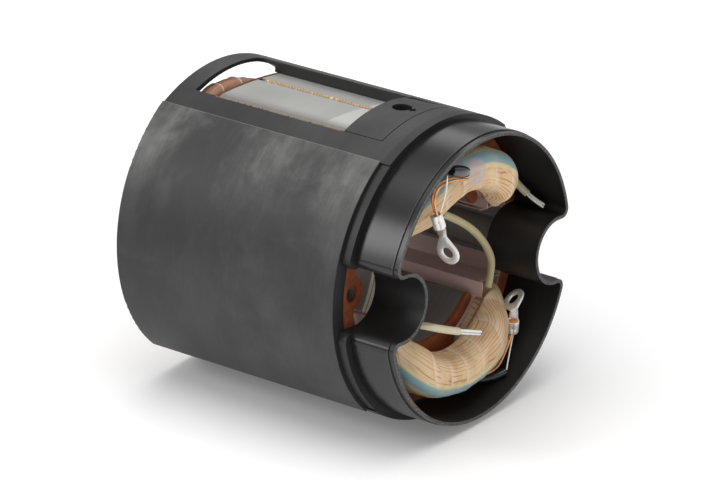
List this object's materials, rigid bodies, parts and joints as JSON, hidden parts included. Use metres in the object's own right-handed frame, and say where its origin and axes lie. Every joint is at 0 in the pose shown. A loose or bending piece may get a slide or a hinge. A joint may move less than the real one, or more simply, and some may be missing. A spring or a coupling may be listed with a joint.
{
  "type": "stator in moulded housing",
  "caption": "Black moulded motor housing holding a laminated two-pole stator with taped field coils, fibre end plates, leads and ring terminals.",
  "frame": {"origin": "centre of the housing's open rear face", "axes": "+Z along the stator axis from the rear face to the neck's rim, +Y through the pole under the window, X through the two side channels and bolt holes"},
  "size_m": [0.1, 0.0958, 0.1051],
  "materials": {
    "housing_plastic": "matte",
    "steel_sheet": "satin",
    "weld": "rough",
    "fibre": "matte",
    "film": "satin",
    "tape": "woven",
    "lead_cover": "matte",
    "copper": "enamelled",
    "tin": "bright",
    "shrink": "gloss",
    "thread": "twisted"
  },
  "bodies": {
    "root": {"housing": "housing_plastic", "lamination_stack": "steel_sheet", "weld_bead": "weld", "rear_end_insulator": "fibre", "front_end_insulator": "fibre", "slot_liner_upper_right": "film", "slot_liner_upper_left": "film", "slot_liner_lower_right": "film", "slot_liner_lower_left": "film", "upper_coil": "tape", "lower_coil": "tape", "crossover_lead": "lead_cover", "lead_a": "lead_cover", "lead_b": "lead_cover", "lead_a_core": "tin", "lead_b_core": "tin", "strand_a": "tin", "strand_b": "tin", "ring_terminal_a": "tin", "ring_terminal_b": "tin", "wire_a_inner": "copper", "wire_a_outer": "copper", "wire_b_inner": "copper", "wire_b_outer": "copper", "shrink_sleeve_a": "shrink", "shrink_sleeve_b": "shrink", "rear_tie_left": "thread", "rear_tie_right": "thread"}
  },
  "joints": []
}
